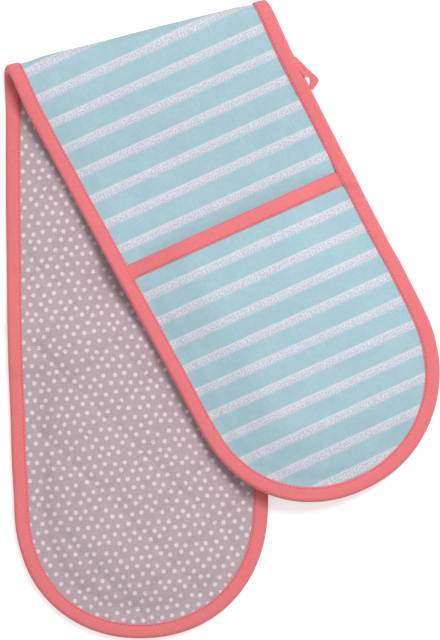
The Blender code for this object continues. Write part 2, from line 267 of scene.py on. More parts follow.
def mouth_distance(along, across):
    mouth = of_half(along, REACH[-1], REACH[1]) - POCKET_DEPTH
    return of_half(along, -1, 1) * (along - across * math.tan(MOUTH_SKEW)) - mouth


# Heights off the strip's middle surface, which rise towards the striped side


def swell(inside):
    return rise(inside, SEAM, SWELL_LENGTH)


def puff(inside):
    """How full the wadding is, which springs back just inside the binding."""
    return rise(inside, PUFF_START, PUFF_LENGTH)


def rising(along):
    """0 on the lower half and 1 on the upper one."""
    return smooth(along / BEND_EASE + 0.5)


def full_share(along, inside):
    """How full the wadding is towards the striped side, which the lower half rests on."""
    return mix(swell(inside), puff(inside), rising(along))


def laid_flat(along, lift):
    """A lift of the striped side, which has no room under the lower half."""
    return mix(np.minimum(lift, 0), lift, rising(along))


def strip_face(full):
    """A face of the strip over wadding that is full by a share."""
    return mix(WADDING_EDGE, WADDING_FULL, full) / 2 + GAP + SKIN


def dotted_face(inside):
    return strip_face(puff(inside))


def striped_face(along, inside):
    return strip_face(full_share(along, inside))


def flat_face(inside):
    """The strip's face as the solids have it, on which the pocket is built up."""
    return strip_face(swell(inside))


def banding(past):
    return 1 - rise(past, MOUTH_BAND, BAND_TAPER)


def pocket_room(face, along, across):
    """The level of the lining over a face of the strip."""
    ease = of_half(along, LOWER_EASE, UPPER_EASE)
    room = ease * rise(edge_distance(along, across), SEAM, EASE_SPREAD)
    return face + GAP + room + TAPE_STEP * banding(mouth_distance(along, across))


def pocket_layers(lining, full, along, across):
    """The level of the pocket's front over its lining and its wadding."""
    full = full * (1 - banding(mouth_distance(along, across)))
    return lining + 2 * (SKIN + GAP) + mix(POCKET_WADDING_EDGE, POCKET_WADDING_FULL, full)


def lining_face(along, across):
    inside = edge_distance(along, across)
    return pocket_room(np.maximum(striped_face(along, inside), flat_face(inside)), along, across)


def front_face(along, across):
    full = full_share(along, edge_distance(along, across))
    return pocket_layers(lining_face(along, across), full, along, across)


def solid_front_face(along, across):
    """The pocket's front as the solids have it, which sets how the glove lies."""
    inside = edge_distance(along, across)
    return pocket_layers(pocket_room(flat_face(inside), along, across), swell(inside), along, across)


def stack_height(along, across, under_binding):
    past = mouth_distance(along, across)
    mouth_along = along - of_half(along, -1, 1) * np.minimum(past, 0)
    wraps = banding(np.maximum(past, 0)) + under_binding
    over_pocket = solid_front_face(mouth_along, across) + TAPE_STEP * wraps
    return mix(STRIP_REST, over_pocket, smooth(1 + past / MOUTH_RISE))


def over_layers(along, across):
    """The height that a tape sewn on the striped side has there, on the strip or on the pocket."""
    past = mouth_distance(along, across)
    on_strip = striped_face(along, edge_distance(along, across)) + TAPE_STEP
    wraps = 2 - rise(past, MOUTH_BAND - BAND_OVERLAP, BAND_STEP)
    on_pocket = front_face(along, across) + TAPE_STEP * wraps
    return mix(on_strip, on_pocket, rise(past, -MOUTH_CLIMB, MOUTH_CLIMB))


def corner_fill(along, across):
    """How far the striped cloth rises before a mouth, under the binding that climbs on the pocket."""
    inside = edge_distance(along, across)
    under = 1 - rise(inside, SEEN_WIDTH, CORNER_EASE)
    before = 1 - rise(mouth_distance(along, across), MOUTH_STEPS[0], MOUTH_STEPS[1] - MOUTH_STEPS[0])
    room = over_layers(along, across) - TAPE_STEP - striped_face(along, inside)
    return CORNER_SHARE * np.maximum(room, 0) * under * before * rising(along)


# Where the strip lies once it is folded


def lower_height(along, across):
    cover = 1 - rise(edge_distance(along, across), SEAM, COVER_EASE)
    return stack_height(along, across, cover) + FLOOR_GAP


def to_fold(along, across):
    off = along * math.cos(FOLD_SLANT) - across * math.sin(FOLD_SLANT)
    beside = along * math.sin(FOLD_SLANT) + across * math.cos(FOLD_SLANT)
    return off, beside


def upper_height(along, across):
    off, beside = to_fold(along, across)
    below_along = -off * math.cos(FOLD_SLANT) + beside * math.sin(FOLD_SLANT)
    below_across = beside * math.cos(FOLD_SLANT) + off * math.sin(FOLD_SLANT)
    past = mouth_distance(np.minimum(below_along, -HALF_BEND), below_across) + CROWN_LEAD
    crown = lower_height(np.array(POCKET_DEPTH - REACH[-1]), np.array(0.0))
    lower = mix(STRIP_REST, crown, smooth(1 + past / CROWN_RISE))
    carried = lower + STRIP_REST + LAY_GAP
    outside = -edge_distance(below_along, below_across)
    laid = mix(STRIP_REST + carried, STRIP_REST, smooth(outside / DRAPE_LENGTH))
    relaxed = mix(UPPER_AT_FOLD, laid, rise(off, HALF_BEND, FOLD_RELAX))
    ripple = 0.5 + 0.5 * noise(along / RIPPLE_WAVES[0], across / RIPPLE_WAVES[1], 3)
    return relaxed + RIPPLE_HEIGHT * ripple * rise(off, HALF_BEND, RIPPLE_START)


# How far the cloth strays from its straight lay: places off the fold, and how far it strays there
LEFT_PLACES = (
    -0.360, -0.335, -0.310, -0.292, -0.272, -0.240, -0.205, -0.172, -0.093, -0.060, -0.030,
    -0.0126, 0.0126, 0.036,
)
LEFT_STRAY = (
    0.0012, 0.0017, 0.0013, 0.0010, 0.0003, 0.0003, -0.0003, -0.0001, 0.0012, 0.0021, 0.0030,
    0.0024, 0.0022, 0.0,
)
RIGHT_PLACES = (
    -0.390, -0.330, -0.290, -0.060, -0.0126, 0.0126, 0.045, 0.140, 0.155, 0.190, 0.203, 0.235,
    0.270, 0.295, 0.325, 0.345, 0.360,
)
RIGHT_STRAY = (
    0.0006, 0.0022, 0.0018, 0.0, 0.0012, 0.0014, 0.0, 0.0003, 0.0001, 0.0006, 0.0013, 0.0014,
    -0.0002, -0.0006, -0.0010, -0.0007, -0.0002,
)
TIP_PLACES = (-0.420, -0.370, 0.230, 0.290, 0.315, 0.345)
TIP_STRAY = (0.0004, 0.0, 0.0, 0.0017, 0.0013, 0.0003)


def stray(off, beside):
    """The cloth's drift aside and ahead, which every layer shares."""
    left, right = np.interp(off, LEFT_PLACES, LEFT_STRAY), np.interp(off, RIGHT_PLACES, RIGHT_STRAY)
    return mix(left, right, smooth(0.5 + beside / STRIP_WIDTH)), np.interp(off, TIP_PLACES, TIP_STRAY)


def lay(along, across, height):
    """The point in space of a place on the strip, at a height off its middle surface."""
    along, across, height = np.broadcast_arrays(along, across, height)
    off, beside = to_fold(along, across)
    lower, upper = off < -HALF_BEND, off > HALF_BEND
    turn = np.clip(off, -HALF_BEND, HALF_BEND) / FOLD_RADIUS
    ahead = (FOLD_RADIUS + height) * np.cos(turn)
    level = FOLD_CENTRE + (FOLD_RADIUS + height) * np.sin(turn)
    ahead = np.where(lower, off + HALF_BEND, np.where(upper, HALF_BEND - off, ahead))
    level = np.where(lower, lower_height(along, across) - height, level)
    level = np.where(upper, upper_height(along, across) + height, level)
    aside, forward = stray(off, beside)
    shares = beside + aside, ahead + forward, np.maximum(level, FLOOR_TOUCH)
    return CENTRE + np.stack(shares, -1) @ np.array((ALONG_FOLD, OFF_FOLD, UP))


# Rows of cells: the middle place and the slant of each line across the strip


def end_rows(half):
    """Rows from the tip to the shoulders."""
    turns = np.linspace(TIP_TURN, math.pi / 2, END_ROWS + 1)
    ahead = (END_LENGTH - LAYER_INSET) * np.abs(np.cos(turns)) ** (2 / END_FULLNESS)
    return [(half * (REACH[half] - END_LENGTH + step), 0.0) for step in ahead]


def fold_row(turn):
    return turn * FOLD_RADIUS / math.cos(FOLD_SLANT), math.tan(FOLD_SLANT)


def rows_between(first, last, cells):
    shares = np.linspace(0, 1, cells + 1)[1:]
    return [(mix(first[0], last[0], s), mix(first[1], last[1], s)) for s in shares]


def strip_rows():
    """Every row of the strip, from the lower tip to the upper one."""
    rows = end_rows(-1)
    rows += rows_between(rows[-1], fold_row(-math.pi / 2), LOWER_ROWS)
    rows += [fold_row(turn) for turn in np.linspace(-1, 1, BEND_ROWS + 1)[1:] * math.pi / 2]
    upper_end = end_rows(1)[::-1]
    mouth = REACH[1] - POCKET_DEPTH
    stops = [(mouth + step, math.tan(MOUTH_SKEW)) for step in MOUTH_STEPS] + [upper_end[0]]
    for stop, cells in zip(stops, MOUTH_ROWS):
        rows += rows_between(rows[-1], stop, cells)
    return np.array(rows + upper_end[1:])


def meet(middle, slant, shares, inset):
    """Places along and across where lines meet shares of the half width, by repeated guesses."""
    across = 0.0
    for _ in range(ROW_PASSES):
        across = shares * half_width(middle + slant * across, inset)
    return middle + slant * across, across


ROWS = strip_rows()
LOWER_CUT = END_ROWS + LOWER_ROWS + CUT_ROWS
UPPER_CUT = END_ROWS + LOWER_ROWS + BEND_ROWS - CUT_ROWS
CUT_TURN = math.pi * (1 / 2 - CUT_ROWS / BEND_ROWS)
SHARES = np.linspace(-1, 1, COLUMNS + 1)
ALONG, ACROSS = meet(ROWS[:, :1], ROWS[:, 1:], SHARES, LAYER_INSET)
# Each segment's rows, and the first word of the nodes that it takes the place of
SEGMENTS = {
    "lower": (slice(0, LOWER_CUT + 1), "lower"),
    "middle": (slice(LOWER_CUT, UPPER_CUT + 1), "fold"),
    "upper": (slice(UPPER_CUT, None), "upper"),
}


def bend_over(piece, segment):
    """The middle piece goes with the fold's body and the others keep their places; each meets its
    neighbour on the line of the cut.
    """
    if segment == "middle":
        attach(piece, "fold")
    elif segment == "lower":
        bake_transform(piece)
    else:
        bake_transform(piece)


# Pieces


def add_piece(name, points, faces, flat, material):
    """A piece of the glove, whose points keep their flat places for the patterns to follow."""
    mesh = bpy.data.meshes.new(name)
    mesh.from_pydata(points.tolist(), [], faces)
    mesh.shade_smooth()
    attribute = mesh.attributes.new("flat", "FLOAT_VECTOR", "POINT")
    attribute.data.foreach_set("vector", flat.astype(np.float32).ravel())
    mesh.materials.append(material)
    piece = bpy.data.objects.new(name, mesh)
    bpy.context.scene.collection.objects.link(piece)
    return piece


def grid_normals(points, closed=False):
    """The normals of a grid of points, pointing the way that its quads are wound."""
    if closed:
        down = np.roll(points, -1, axis=0) - np.roll(points, 1, axis=0)
    else:
        down = np.gradient(points, axis=0)
    normals = np.cross(np.gradient(points, axis=1), down)
    return normals / np.maximum(np.linalg.norm(normals, axis=-1, keepdims=True), 1e-12)


def signed_volume(points, quads):
    a, b, c, d = (points[quads[:, i]] for i in range(4))
    return (np.einsum("ij,ij->i", a, np.cross(b, c)) + np.einsum("ij,ij->i", a, np.cross(c, d))).sum()


def shell(name, outer, inner, flat, material, normals=None):
    """A closed shell between two grids of points."""
    rows, columns = outer.shape[:2]
    count = rows * columns
    first = (np.arange(rows - 1)[:, None] * columns + np.arange(columns - 1)[None, :]).ravel()
    quads = np.stack([first, first + 1, first + columns + 1, first + columns], 1)
    last_row = (rows - 1) * columns
    border = np.concatenate([
        np.arange(columns - 1),
        np.arange(rows - 1) * columns + columns - 1,
        last_row + np.arange(columns - 1, 0, -1),
        np.arange(rows - 1, 0, -1) * columns,
    ])
    after = np.roll(border, -1)
    rim = np.stack([after, border, border + count, after + count], 1)
    quads = np.concatenate([quads, quads[:, ::-1] + count, rim])
    points = np.concatenate([outer.reshape(-1, 3), inner.reshape(-1, 3)])
    if normals is None:
        normals = (grid_normals(outer), grid_normals(inner))
    turned = np.concatenate([normals[0].reshape(-1, 3), -normals[1].reshape(-1, 3)])
    if signed_volume(points, quads) < 0:
        quads, turned = quads[:, ::-1], -turned
    places = np.concatenate([flat.reshape(-1, 3)] * 2)
    piece = add_piece(name, points, quads.tolist(), places, material)
    piece.data.normals_split_custom_set_from_vertices(turned.tolist())
    return piece


def ring_quads(rings, around):
    """Quads between rings of points that follow each other."""
    quads = []
    for ring in range(rings - 1):
        for side in range(around):
            after, base = (side + 1) % around, ring * around
            quads.append((base + side, base + after, base + around + after, base + around + side))
    return np.array(quads)


def flat_places(along, across, level=0.0):
    return np.stack(np.broadcast_arrays(along, across, level), -1)


# Materials


class Wiring:
    """Adds nodes to a material's or a group's tree."""

    def __init__(self, tree):
        self.tree = tree

    def feed(self, socket, value):
        if isinstance(value, bpy.types.NodeSocket):
            self.tree.links.new(value, socket)
        else:
            socket.default_value = value

    def add(self, kind, inputs=None, **settings):
        node = self.tree.nodes.new(kind)
        for name, value in settings.items():
            setattr(node, name, value)
        for socket, value in (inputs or {}).items():
            self.feed(node.inputs[socket], value)
        return node

    def math(self, operation, *values):
        return self.add("ShaderNodeMath", dict(enumerate(values)), operation=operation).outputs[0]

    def times(self, one, two):
        return self.math("MULTIPLY", one, two)

    def less(self, one, two):
        return self.math("SUBTRACT", one, two)

    def ramp(self, value, low, high, start=0.0, end=1.0):
        """start below low, end above high, and a smooth change between them."""
        inputs = {"Value": value, "From Min": low, "From Max": high, "To Min": start, "To Max": end}
        return self.add("ShaderNodeMapRange", inputs, interpolation_type="SMOOTHSTEP").outputs[0]

    def colour(self, share, low, high):
        return self.add("ShaderNodeMix", {0: share, 6: low, 7: high}, data_type="RGBA").outputs[2]

    def noise(self, vector, scale, detail=2.0):
        inputs = {"Vector": vector, "Scale": scale, "Detail": detail, "Roughness": 0.5}
        return self.add("ShaderNodeTexNoise", inputs).outputs[0]

    def vector(self, x, y):
        return self.add("ShaderNodeCombineXYZ", {0: x, 1: y}).outputs[0]

    def scaled(self, vector, scale):
        return self.add("ShaderNodeVectorMath", {0: vector, 1: scale}, operation="MULTIPLY").outputs[0]

    def parts(self, vector):
        return self.add("ShaderNodeSeparateXYZ", {0: vector}).outputs

    def turned(self, vector, angle):
        inputs = {"Vector": vector, "Angle": angle}
        return self.add("ShaderNodeVectorRotate", inputs, rotation_type="Z_AXIS").outputs[0]

    def cells(self, vector, scale, randomness):
        inputs = {"Vector": vector, "Scale": scale, "Randomness": randomness}
        return self.add("ShaderNodeTexVoronoi", inputs, voronoi_dimensions="2D").outputs


def group(name, inputs, outputs):
    """A shader node group with named sockets, and its wiring, start and end."""
    tree = bpy.data.node_groups.new(name, "ShaderNodeTree")
    for way, labels in (("INPUT", inputs), ("OUTPUT", outputs)):
        for label in labels:
            kind = "NodeSocketVector" if label == "Flat" else "NodeSocketFloat"
            tree.interface.new_socket(name=label, in_out=way, socket_type=kind)
    wiring = Wiring(tree)
    start, end = wiring.add("NodeGroupInput"), wiring.add("NodeGroupOutput")
    return tree, wiring, start.outputs, end.inputs


def make_weave():
    """Crossing threads: their height, and how light each thread is."""
    tree, wiring, given, wanted = group(
        "plain_weave", ("Flat", "Threads", "Turn"), ("Height", "Thread Tone")
    )
    turned = wiring.turned(given["Flat"], given["Turn"])
    place = wiring.parts(turned)
    waves = [
        wiring.math("SINE", wiring.times(wiring.times(place[axis], given["Threads"]), math.pi))
        for axis in range(2)
    ]
    slubs = [wiring.noise(wiring.scaled(turned, scale), 1.0) for scale in SLUB_SCALES]
    wiring.feed(wanted["Height"], wiring.math("MULTIPLY_ADD", wiring.times(*waves), 0.5, 0.5))
    wiring.feed(wanted["Thread Tone"], wiring.times(wiring.math("ADD", *slubs), 0.5))
    return tree


def make_lace():
    """Printed lace stripes: where the lace is, and where it is open. It works in millimetres."""
    tree, wiring, given, wanted = group(
        "lace_stripes", ("Flat", "First", "Spacing", "Facing"), ("Lace", "Open")
    )
    place = wiring.parts(given["Flat"])
    along = wiring.math("MULTIPLY_ADD", place[1], -PRINT_SLANT, place[0])
    along = wiring.less(wiring.times(along, given["Facing"]), given["First"])
    shares = wiring.math("DIVIDE", along, given["Spacing"])
    off = wiring.times(wiring.less(shares, wiring.math("ROUND", shares)), given["Spacing"])
    off = wiring.times(off, 1000.0)
    beside = wiring.times(place[1], 1000.0)
    wave = wiring.math("SINE", wiring.times(beside, math.pi / LACE_SCALLOP))
    scallop = wiring.math("MULTIPLY_ADD", wiring.math("ABSOLUTE", wave), SCALLOP_HEIGHT, SCALLOP_BASE)
    above = wiring.ramp(off, *LACE_EDGE)
    below = wiring.ramp(wiring.less(off, scallop), *SCALLOP_EDGE, 1.0, 0.0)
    cells = wiring.cells(wiring.scaled(given["Flat"], (1, 1, 0)), HOLE_SCALE, HOLE_STRAY)
    holes = wiring.ramp(cells["Distance"], *HOLE_SIZE, 1.0, 0.0)
    inside = wiring.ramp(off, *HOLES_FROM, *HOLE_SHARE)
    ring = wiring.math("SINE", wiring.times(beside, 2 * math.pi / LACE_SCALLOP))
    from_line = wiring.math("ABSOLUTE", wiring.less(off, EYELET_LINE))
    on_line = wiring.ramp(from_line, *EYELET_EDGE, 1.0, 0.0)
    eyelets = wiring.times(wiring.ramp(ring, *EYELET_EDGE, 0.0, EYELET_SHARE), on_line)
    pierced = wiring.math("MAXIMUM", wiring.times(holes, inside), eyelets)
    lace = wiring.times(above, below)
    wiring.feed(wanted["Lace"], lace)
    wiring.feed(wanted["Open"], wiring.times(lace, pierced))
    return tree


def make_dots():
    """Round dots scattered evenly."""
    tree, wiring, given, wanted = group("scattered_dots", ("Flat", "Spacing", "Radius"), ("Dots",))
    scale = wiring.math("DIVIDE", 1.0, given["Spacing"])
    place = wiring.parts(wiring.turned(given["Flat"], DOT_TURN))
    leant = wiring.math("MULTIPLY_ADD", place[1], -STAGGER / ROW_HEIGHT, place[0])
    upright = wiring.math("DIVIDE", place[1], ROW_HEIGHT)
    cells = wiring.cells(wiring.vector(leant, upright), scale, DOT_STRAY)
    centre = wiring.parts(cells["Position"])
    beside = wiring.less(place[0], wiring.math("MULTIPLY_ADD", centre[1], STAGGER, centre[0]))
    above = wiring.less(place[1], wiring.times(centre[1], ROW_HEIGHT))
    away = wiring.add("ShaderNodeVectorMath", {0: wiring.vector(beside, above)}, operation="LENGTH")
    edge = wiring.less(away.outputs["Value"], given["Radius"])
    wiring.feed(wanted["Dots"], wiring.ramp(edge, *DOT_EDGE, 1.0, 0.0))
    return tree


SLUB_SCALES = ((1900, 130, 1), (130, 1900, 1))
WEAVE, LACE, DOTS = make_weave(), make_lace(), make_dots()

TEAL = (0.400, 0.585, 0.655)
TEAL_DEEP = (0.330, 0.500, 0.580)
LACE_PALE = (0.700, 0.720, 0.790)
LACE_OPEN = (0.430, 0.450, 0.520)
GREY = (0.500, 0.405, 0.439)
DOT_PALE = (0.815, 0.690, 0.735)
CORAL = (0.835, 0.198, 0.214)
CREAM = (0.82, 0.79, 0.72)
CORAL_THREAD = (0.640, 0.125, 0.145)
GREY_THREAD = (0.375, 0.304, 0.330)

BUMP_STRENGTH = 0.8
WEAR_SCALE = 90.0
WEAR_EDGE = (0.2, 0.8)
WEAR_SPREAD = 0.05
SHEEN_ROUGHNESS = 0.5
COTTON_SPECULAR = 0.25
TONE_EDGE = (0.38, 0.62)
TEAL_SPREAD, GREY_SPREAD, PRINT_SPREAD = 0.07, 0.09, 0.05
PATCH_SCALE = 38.0
PATCH_RAMP = (0.35, 0.75, 0.0, 0.35)
# Small pale spots on the coral tape are painted highlights of single threads: their noise scale and
# edges
GLINT_SCALE = 1400.0
GLINT_EDGE = (0.66, 0.74)
BROAD_SCALE = 160.0
BROAD_RELIEF = 0.6
LACE_RELIEF = 0.5
DOT_RELIEF = 0.25


def cotton(name, slot, paint, threads=2300.0, turn=0.0, roughness=0.88, sheen=0.18, depth=0.00012):
    """A woven cotton whose colour comes from paint(wiring, flat, tone)."""
    material = bpy.data.materials.new(name)
    material.use_nodes = True
    wiring = Wiring(material.node_tree)
    shader = material.node_tree.nodes["Principled BSDF"]
    flat = wiring.add("ShaderNodeAttribute", attribute_name="flat").outputs["Vector"]
    inputs = {"Flat": flat, "Threads": threads, "Turn": turn}
    weave = wiring.add("ShaderNodeGroup", inputs, node_tree=WEAVE).outputs
    colour, relief = paint(wiring, flat, weave["Thread Tone"])
    height = wiring.math("MULTIPLY_ADD", weave["Height"], 0.5, relief)
    bump = wiring.add("ShaderNodeBump", {"Height": height, "Distance": depth, "Strength": BUMP_STRENGTH})
    wiring.feed(shader.inputs["Base Color"], colour)
    wiring.feed(shader.inputs["Normal"], bump.outputs[0])
    limits = roughness - WEAR_SPREAD, roughness + WEAR_SPREAD
    wear = wiring.ramp(wiring.noise(flat, WEAR_SCALE, 3.0), *WEAR_EDGE, *limits)
    wiring.feed(shader.inputs["Roughness"], wear)
    shader.inputs["Sheen Weight"].default_value = sheen
    shader.inputs["Sheen Roughness"].default_value = SHEEN_ROUGHNESS
    shader.inputs["Specular IOR Level"].default_value = COTTON_SPECULAR
    return material


def toned(wiring, colour, tone, spread):
    """The colour, a little darker or lighter from thread to thread."""
    dark = [channel * (1 - spread) for channel in colour] + [1]
    light = [min(channel * (1 + spread), 1) for channel in colour] + [1]
    return wiring.colour(wiring.ramp(tone, *TONE_EDGE), dark, light)


def striped(first, spacing, facing):
    def paint(wiring, flat, tone):
        inputs = {"Flat": flat, "First": first, "Spacing": spacing, "Facing": facing}
        lace = wiring.add("ShaderNodeGroup", inputs, node_tree=LACE).outputs
        patches = wiring.ramp(wiring.noise(flat, PATCH_SCALE, 3.0), *PATCH_RAMP)
        ground = wiring.colour(patches, toned(wiring, TEAL, tone, TEAL_SPREAD), [*TEAL_DEEP, 1])
        printed = wiring.colour(lace["Lace"], ground, toned(wiring, LACE_PALE, tone, PRINT_SPREAD))
        relief = wiring.times(lace["Lace"], LACE_RELIEF)
        return wiring.colour(lace["Open"], printed, [*LACE_OPEN, 1]), relief

    return paint


def dotted(wiring, flat, tone):
    inputs = {"Flat": flat, "Spacing": DOT_SPACING, "Radius": DOT_RADIUS}
    dots = wiring.add("ShaderNodeGroup", inputs, node_tree=DOTS).outputs["Dots"]
    ground = toned(wiring, GREY, tone, GREY_SPREAD)
    pale = toned(wiring, DOT_PALE, tone, PRINT_SPREAD)
    return wiring.colour(dots, ground, pale), wiring.times(dots, DOT_RELIEF)


def plain(colour, spread, glint_share=0.0):
    def paint(wiring, flat, tone):
        # Small pale spots mixed halfway to white: painted highlights of single threads
        painted_glints = wiring.ramp(wiring.noise(flat, GLINT_SCALE, 1.0), *GLINT_EDGE, 0.0, glint_share)
        pale = [mix(channel, 1.0, 0.5) for channel in colour] + [1]
        broad = wiring.times(wiring.noise(flat, BROAD_SCALE), BROAD_RELIEF)
        return wiring.colour(painted_glints, toned(wiring, colour, tone, spread), pale), broad

    return paint


STRIP_TEAL = cotton("striped_teal_cotton", "teal_cotton", striped(*STRIP_STRIPES, 1.0))
UNDER_STRIPES = (POCKET_STRIPES[0] + 2 * FOLD_FROM_MIDDLE, POCKET_STRIPES[1])
POCKET_TEAL = {
    1: cotton("striped_teal_pocket", "teal_cotton", striped(*POCKET_STRIPES, 1.0)),
    -1: cotton("striped_teal_lower_pocket", "teal_cotton", striped(*UNDER_STRIPES, -1.0)),
}
DOTTED = cotton("dotted_grey_cotton", "grey_cotton", dotted)
# The coral tape's small pale spots are painted thread highlights
CORAL_TAPE = cotton(
    "coral_bias_tape", "coral_tape", plain(CORAL, 0.05, glint_share=0.25),
    threads=2600.0, turn=math.pi / 4, roughness=0.80, sheen=0.25,
)
FLUFF = cotton(
    "cream_wadding", "cream_wadding", plain(CREAM, 0.10),
    threads=700.0, turn=0.3, roughness=0.97, sheen=0.3, depth=0.0006,
)
YARN = {"threads": 6000.0, "turn": 0.5, "roughness": 0.6, "sheen": 0.1, "depth": 0.00005}
CORAL_YARN = cotton("coral_thread", "coral_tape", plain(CORAL_THREAD, 0.1), **YARN)
GREY_YARN = cotton("grey_thread", "grey_cotton", plain(GREY_THREAD, 0.1), **YARN)


# Cloth shapes


def quilt_pinch(along, across):
    """How far quilting draws the dotted side in, from how near its lines are."""
    open_share, ripple = 1.0, 0.0
    for seed, ((one, two), first, spacing) in enumerate(QUILT_LINES):
        place = (along * one + across * two - first) / spacing
        away = np.abs(place - np.round(place)) * spacing
        beside = along * two - across * one
        open_share = open_share * (1 - np.exp(-away / QUILT_SPREAD))
        drift = QUILT_DRIFT[0] * noise(beside / QUILT_DRIFT[1], away / QUILT_DRIFT[1], seed)
        wave = np.sin(beside / QUILT_WAVE * 2 * math.pi + drift)
        ripple = ripple + wave * np.exp(-away / QUILT_FADE)
    reach = rise(edge_distance(along, across), BINDING_WIDTH, QUILT_START)
    return (QUILT_DEPTH * (1 - open_share) + QUILT_PUCKER * ripple) * reach


def edge_pucker(along, across, seed):
    """Small gathers beside the binding, where its stitches hold the cloth."""
    inside = edge_distance(along, across)
    fade = np.exp(-np.maximum(inside - BINDING_WIDTH, 0) / PUCKER_FADE)
    fade = fade * rise(inside, PUCKER_START, PUCKER_GROWTH)
    return PUCKER_HEIGHT * gathers(outline_place(along, across), *PUCKERS, seed) * fade


def rumple(along, across, seed):
    """Slow unevenness of a cloth that lies loose."""
    broad = noise(along / BROAD_WAVES[0], across / BROAD_WAVES[1], seed)
    fine = noise((along + across) / FINE_WAVES[0], (along - across) / FINE_WAVES[1], seed + 5)
    start = rise(edge_distance(along, across), BINDING_WIDTH, RUMPLE_START)
    return (BROAD_HEIGHT * broad + FINE_HEIGHT * fine) * start


def panel_level(along, across):
    lift = edge_pucker(along, across, 2) + rumple(along, across, 11)
    level = striped_face(along, edge_distance(along, across)) + laid_flat(along, lift)
    return level + corner_fill(along, across)


def backing_level(along, across):
    loose = np.minimum(rumple(along, across, 12), DOTTED_LIFT_LIMIT)
    level = quilt_pinch(along, across) - dotted_face(edge_distance(along, across))
    return level + edge_pucker(along, across, 3) - loose


def strip_layer(name, outer_height, inner_height, material, node):
    """The lower, middle and upper pieces of a layer that runs the whole length of the strip."""
    outer, inner = lay(ALONG, ACROSS, outer_height), lay(ALONG, ACROSS, inner_height)
    normals = grid_normals(outer), grid_normals(inner)
    flat = flat_places(ALONG, ACROSS)
    made = {}
    for segment, (rows, word) in SEGMENTS.items():
        cut = tuple(side[rows] for side in normals)
        piece = shell(f"{name}_{segment}", outer[rows], inner[rows], flat[rows], material, cut)
        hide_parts(f"{word}_{node}")
        bend_over(piece, segment)
        made[segment] = piece
    for segment, goes_with in (("lower", [made["middle"]]), ("middle", []), ("upper", [])):
        if segment != "middle" or material == FLUFF:
            rows = SEGMENTS[segment][0]


PANEL, BACK = panel_level(ALONG, ACROSS), backing_level(ALONG, ACROSS)
strip_layer("striped_cloth", PANEL, PANEL - SKIN, STRIP_TEAL, "outer_panel")
strip_layer("dotted_cloth", BACK, BACK + SKIN, DOTTED, "backing")
strip_layer("wadding", PANEL - SKIN - GAP, BACK + SKIN + GAP, FLUFF, "wadding")


def pocket_pieces(half):
    first = (half * (REACH[half] - POCKET_DEPTH + LAYER_INSET), math.tan(MOUTH_SKEW))
    end = end_rows(half)[::-1]
    rows = np.array([first] + rows_between(first, end[0], POCKET_ROWS) + end[1:])
    along, across = meet(rows[:, :1], rows[:, 1:], SHARES, LAYER_INSET)
    lift = rumple(along, across, 21) + edge_pucker(along, across, 6)
    free = rise(mouth_distance(along, across), MOUTH_BAND, POCKET_LOOSE)
    front = front_face(along, across) + laid_flat(along, lift) * free
    lining = lining_face(along, across)
    layers = (
        ("pocket_front", front, front - SKIN, POCKET_TEAL[half]),
        ("pocket_lining", lining + SKIN, lining, DOTTED),
        ("pocket_wadding", front - SKIN - GAP, lining + SKIN + GAP, FLUFF),
    )
    word = HALVES[half]
    for name, top, bottom, material in layers:
        outer, inner = lay(along, across, top), lay(along, across, bottom)
        piece = shell(f"{name}_{word}", outer, inner, flat_places(along, across), material)
        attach(piece, f"{word}_half")
        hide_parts(f"{word}_{name}")


# Tapes: how far in from its edge the points of a flat side are, and how the side bulges there
FLAT_STEPS = np.array([0.0, 0.00015, 0.0004, 0.0008, 0.0012, 0.0016, 0.0022, 0.0034, 0.0050, 0.0064])
FLAT_LIFTS = np.array([-0.90, -0.66, -0.46, -0.34, -0.36, -0.14, 0.0, 0.12, 0.16, 0.08]) * TAPE
ROUND_TURNS = np.linspace(-math.pi / 2, math.pi / 2, 13)
FLATS, ROUNDS = len(FLAT_STEPS), len(ROUND_TURNS)
TAPE_END_STATIONS = 150
TAPE_ROWS = {-1: 320, 1: 260}
MOUTH_COLUMNS = 180

# Levels of the edge binding: where it climbs to a pocket, spreads over the layers and laps its start
RIM_CLIMB_START, RIM_CLIMB = -0.020, 0.022
SPREAD_LENGTH = 0.0045
LAP_PLACE, LAP_EDGE, LAP_HEIGHT = 0.0945, 0.0006, 0.0004
LAP_FADE_START, LAP_FADE = 0.030, 0.03

# How its inner edge wanders and gathers, counted in stations
WANDER, WANDER_LENGTH, WANDER_START = 0.00025, 22, 0.004
BINDING_GATHER, BINDING_GATHERS = 0.00010, (5.2, 2, 9, 30)
GATHER_INSET, GATHER_WIDTH = 0.0018, 0.0016


def tape_insets(width):
    """How far in from the edge the points of a tape's section are: outer face, then inner face."""
    flats = width - FLAT_STEPS
    outer = BINDING_ROUND * (1 - np.cos(ROUND_TURNS))
    inner = TAPE + (BINDING_ROUND - TAPE) * (1 - np.cos(ROUND_TURNS))
    return np.concatenate([flats, outer, flats[::-1]]), np.concatenate([flats, inner, flats[::-1]])


def tape_heights(low, high):
    """The heights of a tape's section from its faces' heights at each inset of the outer face.

    low and high have a row a station and a column a point, and hold the level of each face there.
    """
    turned, after = slice(FLATS, FLATS + ROUNDS), slice(FLATS + ROUNDS, None)
    edge_low, edge_high = low[:, FLATS][:, None], high[:, FLATS][:, None]
    middle, half_height = (edge_low + edge_high) / 2, (edge_high - edge_low) / 2
    outer, inner = np.empty_like(low), np.empty_like(low)
    outer[:, :FLATS] = low[:, :FLATS] - FLAT_LIFTS
    inner[:, :FLATS] = low[:, :FLATS] + TAPE
    outer[:, turned] = middle + half_height * np.sin(ROUND_TURNS)
    inner[:, turned] = middle + (half_height - TAPE) * np.sin(ROUND_TURNS)
    outer[:, after] = high[:, after] + FLAT_LIFTS[::-1]
    inner[:, after] = high[:, after] - TAPE
    return outer, inner


